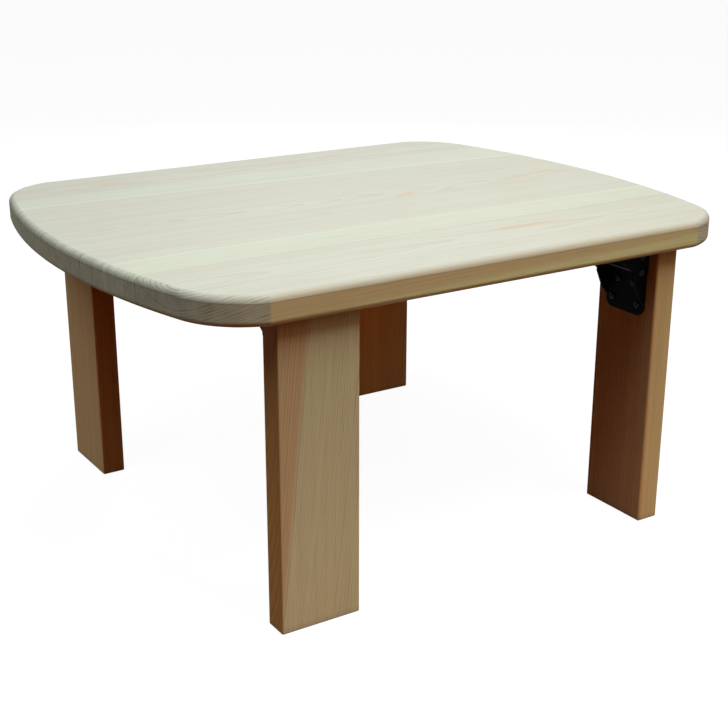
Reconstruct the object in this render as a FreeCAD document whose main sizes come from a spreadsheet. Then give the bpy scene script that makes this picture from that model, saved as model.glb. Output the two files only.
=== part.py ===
import FreeCAD, Part
import Sketcher
import math
import os
from FreeCAD import Placement, Rotation, Vector

# Low four-cornered table of pale solid wood, whose four plank legs fold flat under the top.
# The frame stands on the floor: origin at the middle of the footprint, +Z up, +X along the grain
# of the top. Each leg hangs on a steel folding bracket, and the four brackets turn round the
# table like a pinwheel, so that every leg folds into a free strip of its own.

# Driving sizes in millimetres and degrees: name, value, meaning.
SIZES = (
    ("top_length", 715.0, "top over its two bowed ends"),
    ("top_width", 576.0, "top over its two straight edges"),
    ("top_thickness", 30.0, "thickness of the glued boards"),
    ("table_height", 355.0, "floor to the upper face"),
    ("end_radius", 870.0, "bow of the end-grain ends"),
    ("corner_radius", 86.0, "large corner arcs"),
    ("corner_run", 93.5, "start of a corner arc, in from the bowed end"),
    ("upper_round", 7.0, "round-over of the upper edge"),
    ("lower_round", 6.0, "round-over of the lower edge"),
    ("ease_margin", 3.0, "by how much the eased corner line is rounder than the upper edge"),
    ("front_board", 121.0, "width of the front board"),
    ("middle_board", 367.0, "width of the wide heart board behind it"),
    ("leg_width", 90.0, "plank leg, wide face"),
    ("leg_thickness", 28.0, "plank leg, narrow face"),
    ("leg_inset_end", 106.5, "end of the top to the outside of the legs"),
    ("leg_inset_side", 15.0, "long edge of the top to the outside of the legs"),
    ("leg_edge_round", 2.0, "eased long edges of a leg"),
    ("foot_round", 1.5, "eased edges round a foot"),
    ("gauge", 2.0, "steel sheet of the brackets"),
    ("side_play", 0.3, "gap between nested steel sides"),
    ("running_play", 0.05, "radial play of a hole that turns on its pin"),
    ("ear_span", 66.0, "width over the two ears"),
    ("ear_radius", 10.0, "ear round the pivot"),
    ("ear_length", 48.0, "ear along the underside"),
    ("ear_tip", 5.0, "depth of the ear at its inner end"),
    ("base_width", 86.0, "base plate across the leg"),
    ("base_length", 53.0, "base plate along the fold"),
    ("base_gap", 1.0, "base plate to the leg's inner face"),
    ("base_corner", 6.0, "corners of the base plate"),
    ("pivot_offset", 12.0, "pivot to the leg's inner face"),
    ("pivot_drop", 26.0, "pivot below the underside"),
    ("pivot_radius", 2.5, "pivot pin"),
    ("rim_radius", 12.0, "locking rim round the pivot"),
    ("flange_foot_drop", 58.0, "lower end of a flange's long edge below the underside"),
    ("flange_foot_rise", 10.0, "height of a flange where its end slopes back to the plate"),
    ("plate_drop", 80.0, "lower end of the leg plate below the underside"),
    ("plate_corner", 12.0, "lower corners of the leg plate"),
    ("bend_round", 1.5, "outer bends of the leg plate"),
    ("notch_angle", 50.0, "direction of the nose from the pivot, above level"),
    ("fold_angle", 90.0, "swing of a leg from standing to folded"),
    ("notch_floor_radius", 9.8, "floor of a notch from the pivot"),
    ("notch_floor", 2.6, "width of a notch at its floor"),
    ("notch_mouth", 6.0, "width of a notch at the rim"),
    ("nose_gap", 0.4, "nose tip to the notch floor when locked"),
    ("nose_tip", 2.2, "width of the nose at its tip"),
    ("nose_root", 4.8, "width of the nose at its root"),
    ("cheek_gap", 1.2, "lever cheek to the rim when locked"),
    ("lever_pin_offset", 12.0, "lever pin to the leg's inner face"),
    ("lever_pin_drop", 8.0, "lever pin below the underside"),
    ("lever_pin_radius", 2.0, "lever pin"),
    ("hub_wall", 2.0, "steel round the lever pin"),
    ("cheek_reach", 46.0, "end of the lever cheeks from the leg's inner face"),
    ("cheek_tip", 3.0, "depth of a cheek at its end"),
    ("web_start", 28.0, "lever web from the leg's inner face"),
    ("web_drop", 20.0, "lower face of the locked web below the underside"),
    ("tab_reach", 60.0, "end of the finger tab from the leg's inner face"),
    ("tab_width", 44.0, "finger tab across the lever"),
    ("tab_corner", 6.0, "corners of the finger tab"),
    ("release_angle", 14.0, "lever from locked to released"),
    ("head_radius", 4.5, "rivet heads"),
    ("head_height", 1.8, "rivet heads"),
    ("head_dome", 1.4, "rounding of the rivet heads"),
    ("wire_radius", 0.5, "wire of the lever spring"),
    ("coil_radius", 3.1, "middle of the wire round the lever pin"),
    ("coil_pitch", 1.6, "advance of the wire in one turn"),
    ("coil_turns", 5.0, "whole turns of the coil"),
    ("arm_length", 22.0, "straight arms of the spring"),
    ("arm_gap", 0.15, "spring arms to the steel that they bear on"),
    ("screw_length", 20.0, "wood screw under its head"),
    ("screw_radius", 1.9, "wood screw shank"),
    ("screw_point", 5.0, "tapered end of a wood screw"),
    ("screw_head_radius", 4.0, "pan head"),
    ("screw_head_height", 2.4, "pan head"),
    ("screw_head_dome", 1.8, "rounding of the pan head"),
    ("recess_length", 4.4, "cross recess, tip to tip"),
    ("recess_width", 1.0, "cross recess, one arm"),
    ("recess_depth", 1.3, "cross recess"),
    ("screw_hole_radius", 2.2, "holes in the steel"),
    ("pilot_play", 0.05, "pilot hole round a shank"),
    ("pilot_spare", 1.0, "pilot hole beyond the screw's point"),
    ("base_screw_near", 14.0, "base screws next to the leg, from its inner face"),
    ("base_screw_far", 44.0, "base screws away from the leg, from its inner face"),
    ("base_screw_side", 37.5, "base screws off the middle of the leg"),
    ("upper_screw_side", 12.0, "upper leg screws off the middle of the leg"),
    ("upper_screw_drop", 44.0, "upper leg screws below the underside"),
    ("lower_screw_side", 20.0, "lower leg screws off the middle of the leg"),
    ("lower_screw_drop", 67.0, "lower leg screws below the underside"),
)

# Where the arcs of a bowed end meet, as shares of the top's width from its middle.
END_STEPS = (-0.325, -0.26, -0.195, -0.13, -0.065, 0, 0.065, 0.13, 0.195, 0.26, 0.325)

# Corner name, and the turn about +Z that points a bracket's own +X along the leg's fold.
CORNERS = (
    ("front_left", 90),
    ("front_right", 180),
    ("back_right", 270),
    ("back_left", 0),
)


class Size:
    """A number together with the spreadsheet formula that gives it."""

    def __init__(self, value, formula):
        self.value = value
        self.formula = formula

    def __add__(self, other):
        other = as_size(other)
        return Size(self.value + other.value, f"({self.formula} + {other.formula})")

    def __sub__(self, other):
        other = as_size(other)
        return Size(self.value - other.value, f"({self.formula} - {other.formula})")

    def __mul__(self, other):
        other = as_size(other)
        return Size(self.value * other.value, f"({self.formula} * {other.formula})")

    def __truediv__(self, other):
        other = as_size(other)
        return Size(self.value / other.value, f"({self.formula} / {other.formula})")

    def __neg__(self):
        return Size(-self.value, f"(-{self.formula})")


def as_size(number):
    """A plain number as a Size."""
    return number if isinstance(number, Size) else Size(float(number), str(number))


def polar(radius, angle):
    """Across and up of a point at a radius and an angle in degrees."""
    turn = math.radians(angle.value)
    across = Size(radius.value * math.cos(turn), f"({radius.formula} * cos({angle.formula}))")
    up = Size(radius.value * math.sin(turn), f"({radius.formula} * sin({angle.formula}))")
    return across, up


class Sizes:
    """The driving sizes by name."""


def make_sheet(doc):
    """Put the driving sizes into the spreadsheet and hand them back by name."""
    sheet = doc.addObject("Spreadsheet::Sheet", "Sizes")
    sizes = Sizes()
    for row, (name, value, meaning) in enumerate(SIZES, start=1):
        sheet.set(f"A{row}", name)
        sheet.set(f"B{row}", str(value))
        sheet.setAlias(f"B{row}", name)
        sheet.set(f"C{row}", meaning)
        setattr(sizes, name, Size(value, f"Sizes.{name}"))
    return sizes


doc = FreeCAD.newDocument("folding_table")
size = make_sheet(doc)
doc.recompute()

# Sizes that follow from the driving ones.
UNDERSIDE = size.table_height - size.top_thickness
LEG_SPAN_X = size.top_length / 2 - size.leg_inset_end
LEG_SPAN_Y = size.top_width / 2 - size.leg_inset_side
FLANGE_WIDTH = size.ear_span - (size.gauge + size.side_play) * 2
CHANNEL_WIDTH = FLANGE_WIDTH - size.gauge * 2
EAR_GAP = size.ear_span - size.gauge * 2
PLATE_TOP = size.pivot_drop - size.rim_radius
HUB_RADIUS = size.lever_pin_radius + size.hub_wall
PILOT_RADIUS = size.screw_radius + size.pilot_play
PILOT_DEPTH = size.screw_length - size.gauge + size.pilot_spare
LEVER_PIN = (size.lever_pin_offset, -size.lever_pin_drop)
PIVOT = (size.pivot_offset, -size.pivot_drop)
BASE_SCREWS = tuple(
    (along, side)
    for along in (size.base_screw_near, size.base_screw_far)
    for side in (size.base_screw_side, -size.base_screw_side)
)
LEG_SCREWS = (
    (size.upper_screw_side, size.upper_screw_drop),
    (-size.upper_screw_side, size.upper_screw_drop),
    (size.lower_screw_side, size.lower_screw_drop),
    (-size.lower_screw_side, size.lower_screw_drop),
)


def bind(item, prop, amount):
    """Tie a property to the spreadsheet."""
    item.setExpression(prop, as_size(amount).formula)


def new_body(label):
    body = doc.addObject("PartDesign::Body", label)
    body.Label = label
    return body


def new_sketch(body, role, across=0, up=0, lift=0, turn=0):
    """Sketch on one of the body's own planes, shifted within it, lifted off it and turned."""
    sketch = body.newObject("Sketcher::SketchObject", f"{body.Name}_sketch")
    plane = next(item for item in body.Origin.OriginFeatures if item.Role == role)
    sketch.AttachmentSupport = [(plane, "")]
    sketch.MapMode = "FlatFace"
    offset = Vector(as_size(across).value, as_size(up).value, as_size(lift).value)
    angle = as_size(turn)
    sketch.AttachmentOffset = Placement(offset, Rotation(Vector(0, 0, 1), angle.value))
    bind(sketch, "AttachmentOffset.Base.x", across)
    bind(sketch, "AttachmentOffset.Base.y", up)
    bind(sketch, "AttachmentOffset.Base.z", lift)
    if angle.value:
        bind(sketch, "AttachmentOffset.Rotation.Angle", angle)
    return sketch


def pin_down(sketch, kind, first, first_point, second, second_point, amount):
    """Distance between two points of a sketch, tied to the spreadsheet."""
    amount = as_size(amount)
    rule = Sketcher.Constraint(kind, first, first_point, second, second_point, amount.value)
    index = sketch.addConstraint(rule)
    bind(sketch, f"Constraints[{index}]", amount)


def set_radius(sketch, curve, radius):
    index = sketch.addConstraint(Sketcher.Constraint("Radius", curve, radius.value))
    bind(sketch, f"Constraints[{index}]", radius)


def draw_outline(sketch, corners):
    """Closed outline of straight edges through corners given as (across, up)."""
    first = sketch.GeometryCount
    points = [Vector(as_size(across).value, as_size(up).value, 0) for across, up in corners]
    for start, end in zip(points, points[1:] + points[:1]):
        sketch.addGeometry(Part.LineSegment(start, end), False)
    for index in range(len(points)):
        following = (index + 1) % len(points)
        rule = Sketcher.Constraint("Coincident", first + index, 2, first + following, 1)
        sketch.addConstraint(rule)
    for index, (across, up) in enumerate(corners):
        pin_down(sketch, "DistanceX", -1, 1, first + index, 1, across)
        pin_down(sketch, "DistanceY", -1, 1, first + index, 1, up)


def draw_circle(sketch, across, up, radius):
    across = as_size(across)
    up = as_size(up)
    circle = Part.Circle(Vector(across.value, up.value, 0), Vector(0, 0, 1), radius.value)
    index = sketch.addGeometry(circle, False)
    pin_down(sketch, "DistanceX", -1, 1, index, 3, across)
    pin_down(sketch, "DistanceY", -1, 1, index, 3, up)
    set_radius(sketch, index, radius)


def pad(body, sketch, length, symmetric=True, reverse=False):
    feature = body.newObject("PartDesign::Pad", f"{body.Name}_pad")
    feature.Profile = sketch
    feature.SideType = "Symmetric" if symmetric else "One side"
    feature.Reversed = reverse
    feature.Length = length.value
    bind(feature, "Length", length)
    return feature


def pocket(body, sketch, length, symmetric=True, reverse=False):
    """Cut a sketch out of the body; a cut that removes nothing is an error."""
    doc.recompute()
    before = body.Shape.Volume
    feature = body.newObject("PartDesign::Pocket", f"{body.Name}_pocket")
    feature.Profile = sketch
    feature.SideType = "Symmetric" if symmetric else "One side"
    feature.Reversed = reverse
    feature.Length = length.value
    bind(feature, "Length", length)
    doc.recompute()
    if not body.Shape.Volume < before:
        raise ValueError(f"{feature.Label} cuts nothing")
    return feature


def round_edges(body, radius, wanted):
    """Round the edges of the body that the test picks."""
    doc.recompute()
    tip = body.Tip
    names = [f"Edge{i}" for i, edge in enumerate(tip.Shape.Edges, start=1) if wanted(edge)]
    if not names:
        raise ValueError(f"no edge to round on {body.Label}")
    feature = body.newObject("PartDesign::Fillet", f"{body.Name}_round")
    feature.Base = (tip, names)
    feature.Radius = radius.value
    bind(feature, "Radius", radius)
    doc.recompute()
    return feature


def revolve(body, sketch):
    """Turn a half outline about the sketch's own upright axis."""
    feature = body.newObject("PartDesign::Revolution", f"{body.Name}_turned")
    feature.Profile = sketch
    feature.ReferenceAxis = (sketch, ["V_Axis"])
    feature.Angle = 360.0
    return feature


def near(first, second):
    return abs(first - second) < 1e-4


def level_at(edge, height):
    """The whole edge lies at one height."""
    box = edge.BoundBox
    return near(box.ZMin, height.value) and near(box.ZMax, height.value)


def upright(edge):
    box = edge.BoundBox
    return near(box.XLength, 0) and near(box.YLength, 0)


def corner_origin(turn):
    """Middle of the leg's inner face at the underside, where a bracket has its own origin."""
    half = size.leg_width / 2
    places = {
        90: (half - LEG_SPAN_X, size.leg_thickness - LEG_SPAN_Y),
        180: (LEG_SPAN_X - size.leg_thickness, half - LEG_SPAN_Y),
        270: (LEG_SPAN_X - half, LEG_SPAN_Y - size.leg_thickness),
        0: (size.leg_thickness - LEG_SPAN_X, LEG_SPAN_Y - half),
    }
    return places[turn]


def on_table(turn, along, side):
    """Table position of a point that lies along the fold and to the side in a bracket's frame."""
    x, y = corner_origin(turn)
    steps = {
        90: (-side, along),
        180: (-along, -side),
        270: (side, -along),
        0: (along, side),
    }
    step_x, step_y = steps[turn]
    return x + step_x, y + step_y


def place(item, turn, along=0, drop=0, pitch=0.0):
    """Stand a piece at its corner, at a point of the bracket's own frame."""
    x, y = on_table(turn, as_size(along), as_size(0))
    z = UNDERSIDE - drop
    item.Placement = Placement(Vector(x.value, y.value, z.value), Rotation(turn, -pitch, 0))
    bind(item, "Placement.Base.x", x)
    bind(item, "Placement.Base.y", y)
    bind(item, "Placement.Base.z", z)


def draw_top_outline(sketch):
    """Two straight edges, two bowed ends and four corner arcs that meet the straight edges
    at a shallow angle and run smoothly into the ends."""
    half_width = size.top_width / 2
    half_straight = size.top_length / 2 - size.corner_run
    end_middle = size.top_length / 2 - size.end_radius
    bow = size.end_radius.value
    arc = size.corner_radius.value

    # Middle of the back right corner arc: on a circle round the end's middle and an arc's
    # radius away from the end of the straight edge.
    bow_middle = Vector(end_middle.value, 0, 0)
    edge_end = Vector(half_straight.value, half_width.value, 0)
    line = edge_end - bow_middle
    along = (line.Length**2 + (bow - arc) ** 2 - arc**2) / (2 * line.Length)
    aside = math.sqrt((bow - arc) ** 2 - along**2)
    line.normalize()
    arc_middle = bow_middle + line * along + Vector(line.y, -line.x, 0) * aside
    start = math.atan2(arc_middle.y, arc_middle.x - bow_middle.x)
    finish = math.atan2(edge_end.y - arc_middle.y, edge_end.x - arc_middle.x)

    def add_line(y, forward):
        left = Vector(-half_straight.value, y, 0)
        right = Vector(half_straight.value, y, 0)
        ends = (left, right) if forward else (right, left)
        return sketch.addGeometry(Part.LineSegment(*ends), False)

    def add_arc(middle, radius, begin, end):
        circle = Part.Circle(middle, Vector(0, 0, 1), radius)
        return sketch.addGeometry(Part.ArcOfCircle(circle, begin, end), False)

    def add_end(middle, begin, sign):
        """Bowed end as a run of arcs about one middle, each going on where the last one stops."""
        steps = [size.top_width * share for share in END_STEPS]
        angles = [-start]
        angles.extend(math.asin(step.value / bow) for step in steps)
        angles.append(start)
        run = []
        for low, high in zip(angles, angles[1:]):
            run.append(add_arc(middle, bow, begin + low, begin + high))
        for first, second in zip(run, run[1:]):
            sketch.addConstraint(Sketcher.Constraint("Coincident", first, 2, second, 1))
            sketch.addConstraint(Sketcher.Constraint("Coincident", first, 3, second, 3))
        for curve, step in zip(run, steps):
            pin_down(sketch, "DistanceY", -1, 1, curve, 2, step * sign)
        return run

    def mirrored(sign_x, sign_y):
        return Vector(sign_x * arc_middle.x, sign_y * arc_middle.y, 0)

    front = add_line(-half_width.value, True)
    front_right = add_arc(mirrored(1, -1), arc, -finish, -start)
    right = add_end(bow_middle, 0, 1)
    back_right = add_arc(mirrored(1, 1), arc, start, finish)
    back = add_line(half_width.value, False)
    back_left = add_arc(mirrored(-1, 1), arc, math.pi - finish, math.pi - start)
    left = add_end(-bow_middle, math.pi, -1)
    front_left = add_arc(mirrored(-1, -1), arc, math.pi + start, math.pi + finish)

    for first, second in (
        (front, front_right),
        (back_right, back),
        (back, back_left),
        (front_left, front),
    ):
        sketch.addConstraint(Sketcher.Constraint("Coincident", first, 2, second, 1))
    for first, second in (
        (front_right, right[0]),
        (right[-1], back_right),
        (back_left, left[0]),
        (left[-1], front_left),
    ):
        sketch.addConstraint(Sketcher.Constraint("Tangent", first, 2, second, 1))
    for edge, point, across, up in (
        (front, 1, -half_straight, -half_width),
        (front, 2, half_straight, -half_width),
        (back, 1, half_straight, half_width),
        (back, 2, -half_straight, half_width),
        (right[0], 3, end_middle, as_size(0)),
        (left[0], 3, -end_middle, as_size(0)),
    ):
        pin_down(sketch, "DistanceX", -1, 1, edge, point, across)
        pin_down(sketch, "DistanceY", -1, 1, edge, point, up)
    for run in (right, left):
        set_radius(sketch, run[0], size.end_radius)
    for curve in (front_right, back_right, back_left, front_left):
        set_radius(sketch, curve, size.corner_radius)


def make_top_blank():
    """The glued-up top before its boards are told apart, with the pilot holes of the brackets."""
    body = new_body("top_blank")
    outline = new_sketch(body, "XY_Plane", lift=UNDERSIDE)
    draw_top_outline(outline)
    pad(body, outline, size.top_thickness, symmetric=False).Refine = False
    eased = size.upper_round + size.ease_margin
    round_edges(body, eased, upright_corner).Refine = False
    above = size.table_height
    round_edges(body, size.upper_round, lambda edge: level_at(edge, above)).Refine = False
    round_edges(body, size.lower_round, lambda edge: level_at(edge, UNDERSIDE)).Refine = False
    holes = new_sketch(body, "XY_Plane", lift=UNDERSIDE)
    for _, turn in CORNERS:
        for along, side in BASE_SCREWS:
            draw_circle(holes, *on_table(turn, along, side), PILOT_RADIUS)
    pocket(body, holes, PILOT_DEPTH, symmetric=False, reverse=True).Refine = False
    return body


def upright_corner(edge):
    """An upright edge where a corner arc meets a straight edge."""
    return upright(edge) and near(abs(edge.BoundBox.YMax), size.top_width.value / 2)


def make_board(blank, label, front, width):
    """One board of the top: the part of the blank between its two glue lines."""
    span = doc.addObject("Part::Box", f"{label}_span")
    span.Placement = Placement(Vector(0, 0, 0), Rotation())
    bind(span, "Length", size.top_length)
    bind(span, "Width", width)
    bind(span, "Height", size.top_thickness)
    bind(span, "Placement.Base.x", -size.top_length / 2)
    bind(span, "Placement.Base.y", front)
    bind(span, "Placement.Base.z", UNDERSIDE)
    board = doc.addObject("Part::Common", label)
    board.Label = label
    board.Base = blank
    board.Tool = span
    board.Refine = False
    return board


def make_boards(blank):
    widths = (
        ("front_board", size.front_board),
        ("middle_board", size.middle_board),
    )
    boards = []
    front = -size.top_width / 2
    for label, width in widths:
        boards.append(make_board(blank, label, front, width))
        front = front + width
    boards.append(make_board(blank, "back_board", front, size.top_width / 2 - front))
    return boards


def make_leg(label, turn):
    """Plank leg: upright grain, eased edges, four pilot holes for its bracket."""
    body = new_body(label)
    section = new_sketch(body, "XY_Plane")
    half = size.leg_width / 2
    thick = size.leg_thickness
    draw_outline(section, ((-thick, -half), (0, -half), (0, half), (-thick, half)))
    pad(body, section, UNDERSIDE, symmetric=False, reverse=True)
    round_edges(body, size.leg_edge_round, upright)
    round_edges(body, size.foot_round, lambda edge: level_at(edge, -UNDERSIDE))
    holes = new_sketch(body, "YZ_Plane")
    for side, drop in LEG_SCREWS:
        draw_circle(holes, side, -drop, PILOT_RADIUS)
    pocket(body, holes, PILOT_DEPTH, symmetric=False)
    place(body, turn)
    return body


def make_base_plate(label, turn):
    """Plate screwed to the underside, with two ears that carry the pivot pin and the lever pin."""
    body = new_body(label)
    near_end = size.base_gap
    far_end = size.base_gap + size.base_length
    half = size.base_width / 2
    plate = new_sketch(body, "XY_Plane")
    draw_outline(plate, ((near_end, -half), (far_end, -half), (far_end, half), (near_end, half)))
    pad(body, plate, size.gauge, symmetric=False, reverse=True)
    round_edges(body, size.base_corner, upright)

    ears = new_sketch(body, "XZ_Plane")
    pivot_x, pivot_z = PIVOT
    ear_start = pivot_x - size.ear_radius
    ear_end = ear_start + size.ear_length
    ear_profile = (
        (ear_start, 0),
        (ear_end, 0),
        (ear_end, -size.ear_tip),
        (pivot_x + size.ear_radius, pivot_z),
        (ear_start, pivot_z),
    )
    draw_outline(ears, ear_profile)
    pad(body, ears, size.ear_span)
    ends = new_sketch(body, "XZ_Plane")
    draw_circle(ends, *PIVOT, size.ear_radius)
    pad(body, ends, size.ear_span)
    inside = new_sketch(body, "XZ_Plane")
    depth = size.pivot_drop + size.ear_radius * 2
    inner = ((0, -size.gauge), (far_end * 2, -size.gauge), (far_end * 2, -depth), (0, -depth))
    draw_outline(inside, inner)
    pocket(body, inside, EAR_GAP)

    pins = new_sketch(body, "XZ_Plane")
    draw_circle(pins, *PIVOT, size.pivot_radius)
    draw_circle(pins, *LEVER_PIN, size.lever_pin_radius)
    pocket(body, pins, size.ear_span * 2)
    holes = new_sketch(body, "XY_Plane")
    for along, side in BASE_SCREWS:
        draw_circle(holes, along, side, size.screw_hole_radius)
    pocket(body, holes, size.gauge, symmetric=False)
    place(body, turn)
    return body


def make_leg_plate(label, turn):
    """Channel screwed to the leg's inner face: a shield-shaped plate between two flanges that
    hang on the pivot pin and carry the notched locking rims."""
    body = new_body(label)
    pivot_x, pivot_z = PIVOT
    plate = new_sketch(body, "XZ_Plane")
    gauge = size.gauge
    draw_outline(
        plate,
        ((0, -PLATE_TOP), (gauge, -PLATE_TOP), (gauge, -size.plate_drop), (0, -size.plate_drop)),
    )
    pad(body, plate, FLANGE_WIDTH)
    flanges = new_sketch(body, "XZ_Plane")
    flange_profile = (
        (0, -PLATE_TOP),
        (pivot_x, -PLATE_TOP),
        (pivot_x + size.rim_radius, pivot_z),
        (size.flange_foot_rise, -size.flange_foot_drop),
        (gauge, -size.flange_foot_drop - (size.flange_foot_rise - gauge)),
        (0, -size.flange_foot_drop - (size.flange_foot_rise - gauge)),
    )
    draw_outline(flanges, flange_profile)
    pad(body, flanges, FLANGE_WIDTH)
    rims = new_sketch(body, "XZ_Plane")
    draw_circle(rims, *PIVOT, size.rim_radius)
    pad(body, rims, FLANGE_WIDTH)
    inside = new_sketch(body, "XZ_Plane")
    reach = pivot_x + size.rim_radius * 2
    draw_outline(
        inside,
        ((gauge, 0), (reach, 0), (reach, -size.plate_drop * 2), (gauge, -size.plate_drop * 2)),
    )
    pocket(body, inside, CHANNEL_WIDTH)

    pins = new_sketch(body, "XZ_Plane")
    draw_circle(pins, *PIVOT, size.pivot_radius + size.running_play)
    pocket(body, pins, FLANGE_WIDTH * 2)
    for angle in (size.notch_angle, size.notch_angle - size.fold_angle):
        notch = new_sketch(body, "XZ_Plane", pivot_x, pivot_z, turn=angle)
        floor = size.notch_floor / 2
        mouth = size.notch_mouth / 2
        slope = (mouth - floor) / (size.rim_radius - size.notch_floor_radius)
        outside = size.rim_radius + size.cheek_gap
        flare = mouth + slope * size.cheek_gap
        draw_outline(
            notch,
            (
                (size.notch_floor_radius, -floor),
                (outside, -flare),
                (outside, flare),
                (size.notch_floor_radius, floor),
            ),
        )
        pocket(body, notch, FLANGE_WIDTH * 2)
    holes = new_sketch(body, "YZ_Plane")
    for side, drop in LEG_SCREWS:
        draw_circle(holes, side, -drop, size.screw_hole_radius)
    pocket(body, holes, gauge, symmetric=False, reverse=True)
    round_edges(body, size.plate_corner, lower_plate_corner)
    round_edges(body, size.bend_round, outer_bend)
    place(body, turn)
    return body


def lower_plate_corner(edge):
    """An edge through the sheet at a lower corner of the leg plate."""
    box = edge.BoundBox
    through = near(box.YLength, 0) and near(box.ZLength, 0)
    return through and near(box.ZMin, -size.plate_drop.value)


def outer_bend(edge):
    """The long edge where a flange turns off the back of the leg plate."""
    box = edge.BoundBox
    on_side = near(abs(box.YMax), FLANGE_WIDTH.value / 2)
    return upright(edge) and near(box.XMax, 0) and on_side


def make_lock_lever(label, turn):
    """Channel that hangs on the lever pin: two cheeks whose noses drop into the notches of the
    rims, and a web that runs out into a finger tab. It is drawn locked and stands released."""
    body = new_body(label)
    pin_x, pin_z = LEVER_PIN
    pivot_x, pivot_z = PIVOT
    shift = {"across": -pin_x, "up": -pin_z}
    web_under = -size.web_drop
    web_over = size.gauge - size.web_drop

    cheeks = new_sketch(body, "XZ_Plane", **shift)
    line_x, line_z = polar(size.rim_radius + size.cheek_gap, size.notch_angle)
    step_x, step_z = polar(HUB_RADIUS, size.notch_angle)
    low_x = pivot_x + line_x + step_z
    low_z = pivot_z + line_z - step_x
    cheek_profile = (
        (pin_x, pin_z + HUB_RADIUS),
        (size.cheek_reach, web_under + size.cheek_tip),
        (size.cheek_reach, web_under),
        (size.web_start, web_under),
        (low_x, low_z),
        (pin_x, pin_z),
    )
    draw_outline(cheeks, cheek_profile)
    pad(body, cheeks, FLANGE_WIDTH)
    hubs = new_sketch(body, "XZ_Plane")
    draw_circle(hubs, 0, 0, HUB_RADIUS)
    pad(body, hubs, FLANGE_WIDTH)
    noses = new_sketch(body, "XZ_Plane", pivot_x - pin_x, pivot_z - pin_z, turn=size.notch_angle)
    tip = size.notch_floor_radius + size.nose_gap
    root = size.rim_radius + size.cheek_gap * 2
    draw_outline(
        noses,
        (
            (tip, -size.nose_tip / 2),
            (root, -size.nose_root / 2),
            (root, size.nose_root / 2),
            (tip, size.nose_tip / 2),
        ),
    )
    pad(body, noses, FLANGE_WIDTH)
    inside = new_sketch(body, "XZ_Plane", **shift)
    draw_outline(
        inside,
        (
            (-size.tab_reach, 0),
            (size.tab_reach, 0),
            (size.tab_reach, web_over),
            (size.web_start, web_over),
            (size.web_start, web_under * 2),
            (-size.tab_reach, web_under * 2),
        ),
    )
    pocket(body, inside, CHANNEL_WIDTH)
    tab = new_sketch(body, "XZ_Plane", **shift)
    tab_profile = (
        (size.web_start, web_under),
        (size.tab_reach, web_under),
        (size.tab_reach, web_over),
        (size.web_start, web_over),
    )
    draw_outline(tab, tab_profile)
    pad(body, tab, size.tab_width)
    tab_end = size.tab_reach - pin_x
    round_edges(
        body,
        size.tab_corner,
        lambda edge: upright(edge) and near(edge.BoundBox.XMax, tab_end.value),
    )
    pins = new_sketch(body, "XZ_Plane")
    draw_circle(pins, 0, 0, size.lever_pin_radius + size.running_play)
    pocket(body, pins, FLANGE_WIDTH * 2)
    place(body, turn, size.lever_pin_offset, size.lever_pin_drop, size.release_angle.value)
    return body


def make_rivet(label, turn, spot, radius):
    """Pin across both ears with a rounded head at each end."""
    body = new_body(label)
    along, up = spot
    half = size.ear_span / 2
    end = half + size.head_height
    profile = new_sketch(body, "XY_Plane", along, 0, up)
    draw_outline(
        profile,
        (
            (0, -end),
            (size.head_radius, -end),
            (size.head_radius, -half),
            (radius, -half),
            (radius, half),
            (size.head_radius, half),
            (size.head_radius, end),
            (0, end),
        ),
    )
    revolve(body, profile)

    def head_rim(edge):
        box = edge.BoundBox
        at_end = near(abs(box.YMin), end.value) and near(box.YLength, 0)
        return at_end and near(box.XLength, size.head_radius.value * 2)

    round_edges(body, size.head_dome, head_rim)
    place(body, turn)
    return body


def make_screw():
    """Pan-head wood screw with a cross recess; its seat is at the origin and its head is up."""
    body = new_body("screw_pattern")
    profile = new_sketch(body, "XZ_Plane")
    draw_outline(
        profile,
        (
            (0, -size.screw_length),
            (size.screw_radius, size.screw_point - size.screw_length),
            (size.screw_radius, 0),
            (size.screw_head_radius, 0),
            (size.screw_head_radius, size.screw_head_height),
            (0, size.screw_head_height),
        ),
    )
    revolve(body, profile)

    def head_rim(edge):
        wide = near(edge.BoundBox.XLength, size.screw_head_radius.value * 2)
        return wide and level_at(edge, size.screw_head_height)

    round_edges(body, size.screw_head_dome, head_rim)
    recess = new_sketch(body, "XY_Plane", lift=size.screw_head_height)
    tip = size.recess_length / 2
    arm = size.recess_width / 2
    draw_outline(
        recess,
        (
            (tip, -arm),
            (tip, arm),
            (arm, arm),
            (arm, tip),
            (-arm, tip),
            (-arm, arm),
            (-tip, arm),
            (-tip, -arm),
            (-arm, -arm),
            (-arm, -tip),
            (arm, -tip),
            (arm, -arm),
        ),
    )
    pocket(body, recess, size.recess_depth, symmetric=False)
    return body


def make_screw_group(label, turn, screw, seats):
    """Like screws of one bracket, each a solid of its own, at their seats."""
    group = doc.addObject("Part::Feature", label)
    group.Label = label
    copies = []
    for seat in seats:
        one = screw.Shape.copy()
        one.Placement = seat
        copies.append(one)
    group.Shape = Part.makeCompound(copies)
    place(group, turn)
    return group


def base_screw_seats():
    """Heads down on the lower face of the base plate."""
    over = Rotation(Vector(1, 0, 0), 180)
    gauge = size.gauge.value
    return [Placement(Vector(a.value, s.value, -gauge), over) for a, s in BASE_SCREWS]


def leg_screw_seats():
    """Heads out on the inner face of the leg plate."""
    out = Rotation(Vector(0, 1, 0), 90)
    gauge = size.gauge.value
    return [Placement(Vector(gauge, s.value, -d.value), out) for s, d in LEG_SCREWS]


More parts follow.
